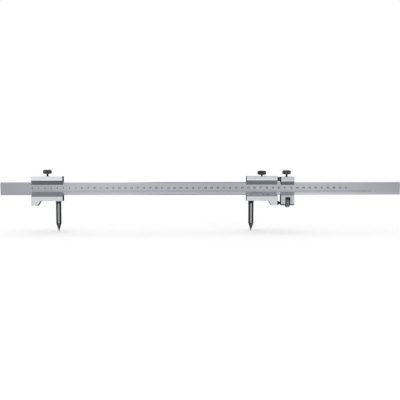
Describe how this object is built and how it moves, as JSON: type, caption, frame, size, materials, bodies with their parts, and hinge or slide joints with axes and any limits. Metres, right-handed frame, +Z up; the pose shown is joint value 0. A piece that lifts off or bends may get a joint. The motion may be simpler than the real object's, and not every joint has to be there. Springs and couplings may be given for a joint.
{
  "type": "beam compass",
  "caption": "Beam compass with a graduated flat beam, sliding heads with scriber points, clamp screws and a vernier head with a fine feed carriage.",
  "frame": {"origin": "middle of the beam's length and thickness, at the level of the scriber tips", "axes": "+X along the beam towards the fine adjustment carriage, -Y out of the graduated face, +Z up from the points to the clamp knobs"},
  "size_m": [0.65, 0.015, 0.0997],
  "materials": {
    "scale_chrome": "satin chrome plate on ground steel",
    "head_steel": "satin chrome plate on ground steel, bevels brushed",
    "scriber_steel": "hardened, polished tool steel",
    "knob_black": "black oxide on knurled steel",
    "black_oxide": "black oxide on machined steel",
    "nut_steel": "worn black oxide on knurled steel",
    "spring_bronze": "rolled phosphor bronze strip",
    "brass": "turned brass"
  },
  "bodies": {
    "beam": {"beam": "scale_chrome"},
    "left_head": {"left_head_body": "head_steel", "left_gib": "spring_bronze", "left_gib_screws": "black_oxide", "left_clamp_shoe": "brass", "left_scriber": "scriber_steel", "left_scriber_collar": "knob_black"},
    "left_stud": {"left_clamp_stud": "black_oxide"},
    "left_knob": {"left_clamp_knob": "knob_black"},
    "carriage": {"carriage_body": "head_steel", "carriage_gib": "spring_bronze", "carriage_gib_screw": "black_oxide", "carriage_clamp_shoe": "brass", "guide_tongue": "black_oxide", "tongue_pin": "scriber_steel"},
    "carriage_stud": {"carriage_clamp_stud": "black_oxide"},
    "carriage_knob": {"carriage_clamp_knob": "knob_black"},
    "feed_nut": {"feed_nut": "nut_steel"},
    "right_head": {"right_head_body": "head_steel", "right_gib": "spring_bronze", "right_gib_screws": "black_oxide", "right_clamp_shoe": "brass", "right_scriber": "scriber_steel", "right_scriber_collar": "knob_black", "feed_screw": "black_oxide", "feed_locknut": "black_oxide"},
    "right_stud": {"right_clamp_stud": "black_oxide"},
    "right_knob": {"right_clamp_knob": "knob_black"}
  },
  "joints": [
    {"name": "left_head_slide", "type": "slide", "parent": "beam", "child": "left_head", "axis": [1, 0, 0], "range_m": [-0.0484, 0.1466]},
    {"name": "carriage_slide", "type": "slide", "parent": "beam", "child": "carriage", "axis": [1, 0, 0], "range_m": [-0.1426, 0.172]},
    {"name": "fine_feed", "type": "slide", "parent": "carriage", "child": "right_head", "axis": [1, 0, 0], "range_m": [-0.004, 0.0024]},
    {"name": "feed_nut_turn", "type": "hinge", "parent": "carriage", "child": "feed_nut", "pos_m": [0.1406, 0, 0.0453], "axis": [1, 0, 0], "range_deg": [-1729, 2881]},
    {"name": "left_clamp_advance", "type": "slide", "parent": "left_head", "child": "left_stud", "axis": [0, 0, 1], "range_m": [-0.00175, 0.00245]},
    {"name": "left_clamp_turn", "type": "hinge", "parent": "left_stud", "child": "left_knob", "pos_m": [-0.2494, 0, 0.0937], "axis": [0, 0, 1], "range_deg": [-901, 1261]},
    {"name": "right_clamp_advance", "type": "slide", "parent": "right_head", "child": "right_stud", "axis": [0, 0, 1], "range_m": [0, 0.0042]},
    {"name": "right_clamp_turn", "type": "hinge", "parent": "right_stud", "child": "right_knob", "pos_m": [0.0984, 0, 0.0937], "axis": [0, 0, 1], "range_deg": [-1, 2161]},
    {"name": "carriage_clamp_advance", "type": "slide", "parent": "carriage", "child": "carriage_stud", "axis": [0, 0, 1], "range_m": [-0.0007, 0.0035]},
    {"name": "carriage_clamp_turn", "type": "hinge", "parent": "carriage_stud", "child": "carriage_knob", "pos_m": [0.139, 0, 0.0937], "axis": [0, 0, 1], "range_deg": [-361, 1801]}
  ],
  "couplings": [
    {"joint": "feed_nut_turn", "follows": "fine_feed", "rad_per_m": -12566},
    {"joint": "left_clamp_turn", "follows": "left_clamp_advance", "rad_per_m": 8976},
    {"joint": "right_clamp_turn", "follows": "right_clamp_advance", "rad_per_m": 8976},
    {"joint": "carriage_clamp_turn", "follows": "carriage_clamp_advance", "rad_per_m": 8976}
  ]
}
